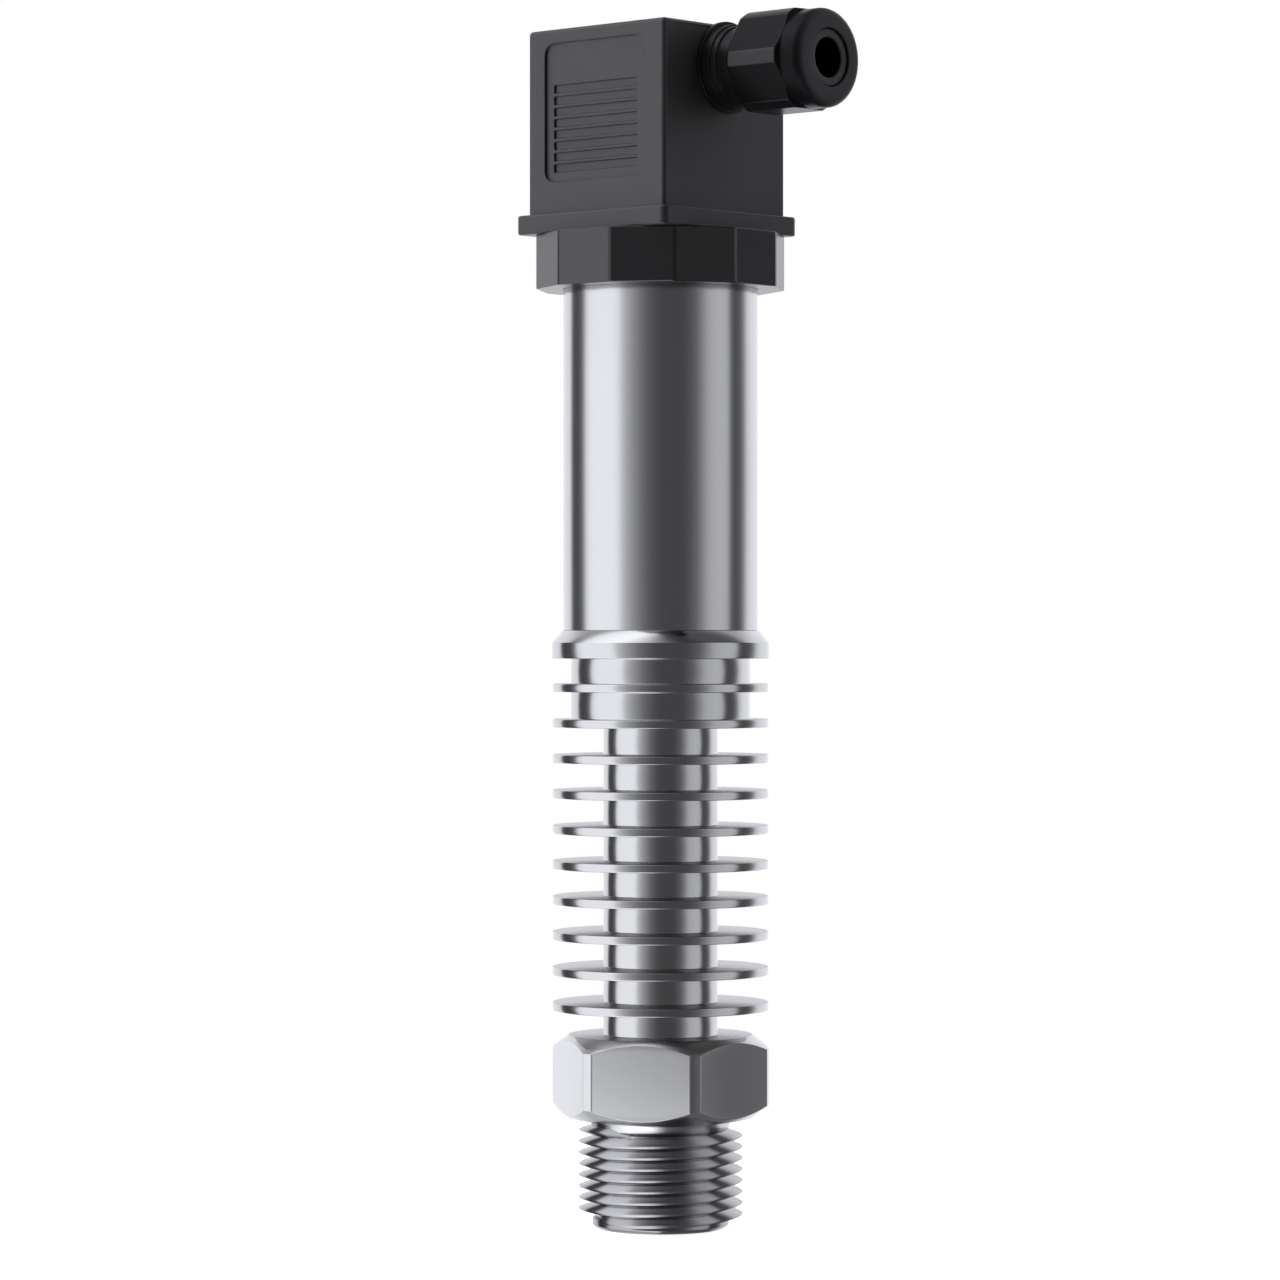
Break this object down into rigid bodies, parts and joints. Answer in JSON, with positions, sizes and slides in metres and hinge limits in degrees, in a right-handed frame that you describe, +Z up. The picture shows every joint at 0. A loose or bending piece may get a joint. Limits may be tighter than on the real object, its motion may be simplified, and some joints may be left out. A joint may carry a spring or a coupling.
{
  "type": "pressure sensor",
  "caption": "Upright steel pressure sensor with a threaded base, spanner hexagon, finned cooling stem, plain tube and a black right-angle plug with a cable gland.",
  "frame": {"origin": "centre of the pressure port's mouth, at the lower end of the thread", "axes": "+Z up along the sensor's axis, +X out of the cable gland, the grooved panel faces -Y"},
  "size_m": [0.0476, 0.034, 0.167],
  "materials": {
    "turned_steel": "bright turned stainless steel",
    "tube_steel": "fine satin stainless steel",
    "cell_steel": "machined stainless steel",
    "screw_steel": "zinc plated steel",
    "tinned_contact": "tinned contact metal",
    "gold_pins": "gold plated",
    "brass": "turned brass",
    "housing_plastic": "moulded, fine grain",
    "connector_plastic": "moulded, fine grain",
    "nut_plastic": "moulded, semi-gloss",
    "gland_plastic": "moulded, semi-gloss",
    "terminal_plastic": "moulded",
    "carrier_plastic": "moulded",
    "component_black": "moulded",
    "board_green": "solder mask",
    "wire_insulation": "insulated wire",
    "seal_rubber": "moulded rubber",
    "grommet_rubber": "moulded rubber"
  },
  "bodies": {
    "sensor": {"pressure_body": "turned_steel", "housing_tube": "tube_steel", "sensor_cell": "cell_steel", "cell_seal": "seal_rubber", "cell_retainer": "cell_steel", "header_pins": "gold_pins", "board_carrier": "carrier_plastic", "circuit_board": "board_green", "board_components": "component_black", "sensor_leads": "wire_insulation", "output_leads": "wire_insulation", "coupling_nut": "nut_plastic", "base_seal": "seal_rubber", "ring_nut": "brass", "connector_base": "connector_plastic", "contact_blades": "tinned_contact", "earth_blade": "tinned_contact", "screw_insert": "brass"},
    "plug": {"plug_housing": "housing_plastic", "flat_gasket": "seal_rubber", "terminal_block": "terminal_plastic", "female_contacts": "tinned_contact", "terminal_screws": "screw_steel", "screw_seal": "seal_rubber", "gland_grommet": "grommet_rubber"},
    "centre_screw": {"centre_screw": "screw_steel"},
    "gland_washer": {"gland_washer": "terminal_plastic"},
    "gland_nut": {"gland_nut": "gland_plastic"}
  },
  "joints": [
    {"name": "plug_slide", "type": "slide", "parent": "sensor", "child": "plug", "axis": [0, 0, 1], "range_m": [0, 0.03]},
    {"name": "screw_turn", "type": "hinge", "parent": "plug", "child": "centre_screw", "pos_m": [-0.0007, 0, 0.1631], "axis": [0, 0, 1], "continuous": true},
    {"name": "gland_travel", "type": "slide", "parent": "plug", "child": "gland_washer", "axis": [1, 0, 0], "range_m": [0, 0.003]},
    {"name": "gland_turn", "type": "hinge", "parent": "gland_washer", "child": "gland_nut", "pos_m": [0.0252, 0, 0.1602], "axis": [1, 0, 0], "range_deg": [0, 720]}
  ],
  "couplings": [
    {"joint": "gland_turn", "follows": "gland_travel", "rad_per_m": 4188.8}
  ]
}
